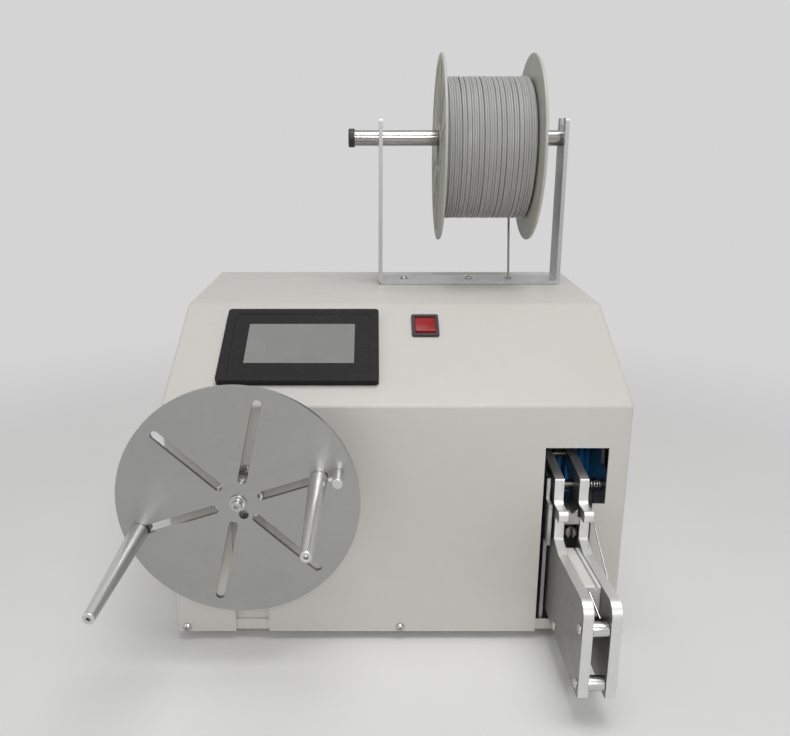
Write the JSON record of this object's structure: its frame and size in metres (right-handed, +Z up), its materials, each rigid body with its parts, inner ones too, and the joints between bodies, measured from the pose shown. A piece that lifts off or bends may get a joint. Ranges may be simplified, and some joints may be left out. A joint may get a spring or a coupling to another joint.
{
  "type": "cable winding and tying machine",
  "caption": "Bench machine with a slotted winding disc on sliding posts, a sprung tying arm in a slot, a touch screen on a sloped hood and a wire spool on a stand.",
  "frame": {"origin": "below the middle of the whole machine's box, on the plane that the feet stand on", "axes": "+Z up, +X to the right as the operator faces the machine, +Y from the operator to the back"},
  "size_m": [0.431, 0.5084, 0.5253],
  "materials": {
    "powder_coat": "satin",
    "zinc_sheet": "satin",
    "brushed_aluminium": "brushed",
    "satin_aluminium": "satin",
    "polished_steel": "polished",
    "black_plastic": "gloss",
    "black_rubber": "matte",
    "screen_grey": "gloss",
    "red_plastic": "gloss",
    "spool_plastic": "satin",
    "wire_coat": "satin",
    "white_plastic": "satin",
    "dark_steel": "satin",
    "blue_casing": "satin",
    "board_green": "matte",
    "supply_case": "satin"
  },
  "bodies": {
    "machine": {"base_tray": "powder_coat", "foot_front_left": "black_rubber", "foot_front_right": "black_rubber", "foot_rear_left": "black_rubber", "foot_rear_right": "black_rubber", "hood": "powder_coat", "hood_screw_left": "polished_steel", "hood_screw_middle": "polished_steel", "screen_case": "black_plastic", "screen_glass": "screen_grey", "switch_frame": "black_plastic", "power_inlet": "black_plastic", "winding_bracket": "zinc_sheet", "bearing_housing": "satin_aluminium", "winding_motor": "dark_steel", "spool_stand": "satin_aluminium", "stand_screw_left": "polished_steel", "stand_screw_right": "polished_steel", "spool_shaft": "polished_steel", "shaft_cap": "black_plastic", "tie_wire": "wire_coat", "arm_plate_left": "satin_aluminium", "arm_plate_right": "satin_aluminium", "front_spacer_upper": "polished_steel", "front_spacer_lower": "polished_steel", "rear_spacer": "polished_steel", "guide_block": "white_plastic", "guide_bar": "polished_steel", "wire_cutter": "dark_steel", "jaw_pivot_pin": "polished_steel", "jaw_spring": "polished_steel", "jaw_motor": "dark_steel", "tying_frame": "zinc_sheet", "bearing_plate": "satin_aluminium", "twist_motor": "dark_steel", "motor_driver": "blue_casing", "feed_motor": "dark_steel", "power_supply": "supply_case", "control_board": "board_green"},
    "disc": {"spindle": "polished_steel", "shaft_coupling": "satin_aluminium", "winding_disc": "brushed_aluminium", "disc_screw": "polished_steel", "clamp_pin": "satin_aluminium"},
    "left_post": {"post_left": "satin_aluminium", "post_nut_left": "polished_steel"},
    "right_post": {"post_right": "satin_aluminium", "post_nut_right": "polished_steel"},
    "reel": {"spool": "spool_plastic", "wound_bed": "wire_coat", "wound_wire": "wire_coat"},
    "jaws": {"upper_jaw_left": "satin_aluminium", "upper_jaw_right": "satin_aluminium", "jaw_bar": "polished_steel"},
    "cam": {"jaw_cam": "dark_steel"},
    "twister": {"twist_shaft": "dark_steel"},
    "pinion": {"twist_pinion": "dark_steel"},
    "feeder": {"feed_roller": "polished_steel"},
    "presser": {"pinch_roller": "polished_steel"},
    "rocker": {"switch_rocker": "red_plastic"}
  },
  "joints": [
    {"name": "disc_spin", "type": "hinge", "parent": "machine", "child": "disc", "pos_m": [-0.1155, -0.12585, 0.158], "axis": [0, 1, 0], "continuous": true},
    {"name": "left_post_slide", "type": "slide", "parent": "disc", "child": "left_post", "axis": [-0.9537, 0, -0.3007], "range_m": [-0.0571, 0]},
    {"name": "right_post_slide", "type": "slide", "parent": "disc", "child": "right_post", "axis": [0.9537, 0, 0.3007], "range_m": [-0.0401, 0.0011]},
    {"name": "spool_spin", "type": "hinge", "parent": "machine", "child": "reel", "pos_m": [0.11175, 0.15915, 0.4303], "axis": [1, 0, 0], "continuous": true},
    {"name": "jaw_lift", "type": "hinge", "parent": "machine", "child": "jaws", "pos_m": [0.1675, -0.06185, 0.145], "axis": [1, 0, 0], "range_deg": [-20, 0], "stiffness_Nm_per_rad": 0.3, "springref_deg": 22.92},
    {"name": "cam_turn", "type": "hinge", "parent": "machine", "child": "cam", "pos_m": [0.16725, -0.02585, 0.1684], "axis": [1, 0, 0], "range_deg": [0, 180]},
    {"name": "twister_spin", "type": "hinge", "parent": "machine", "child": "twister", "pos_m": [0.16725, -0.06385, 0.112], "axis": [0, 1, 0], "continuous": true},
    {"name": "pinion_spin", "type": "hinge", "parent": "machine", "child": "pinion", "pos_m": [0.16725, -0.03185, 0.0896], "axis": [0, 1, 0], "continuous": true},
    {"name": "feed_roller_spin", "type": "hinge", "parent": "machine", "child": "feeder", "pos_m": [0.1395, 0.06815, 0.0735], "axis": [1, 0, 0], "continuous": true},
    {"name": "pinch_roller_spin", "type": "hinge", "parent": "machine", "child": "presser", "pos_m": [0.1395, 0.06815, 0.0495], "axis": [1, 0, 0], "continuous": true},
    {"name": "switch_rock", "type": "hinge", "parent": "machine", "child": "rocker", "pos_m": [0.0435, 0.01113, 0.27252], "axis": [1, 0, 0], "range_deg": [0, 16]}
  ],
  "couplings": [
    {"joint": "cam_turn", "follows": "jaw_lift", "ratio": -9},
    {"joint": "pinion_spin", "follows": "twister_spin", "ratio": -1.6667},
    {"joint": "pinch_roller_spin", "follows": "feed_roller_spin", "ratio": -1.3333}
  ]
}
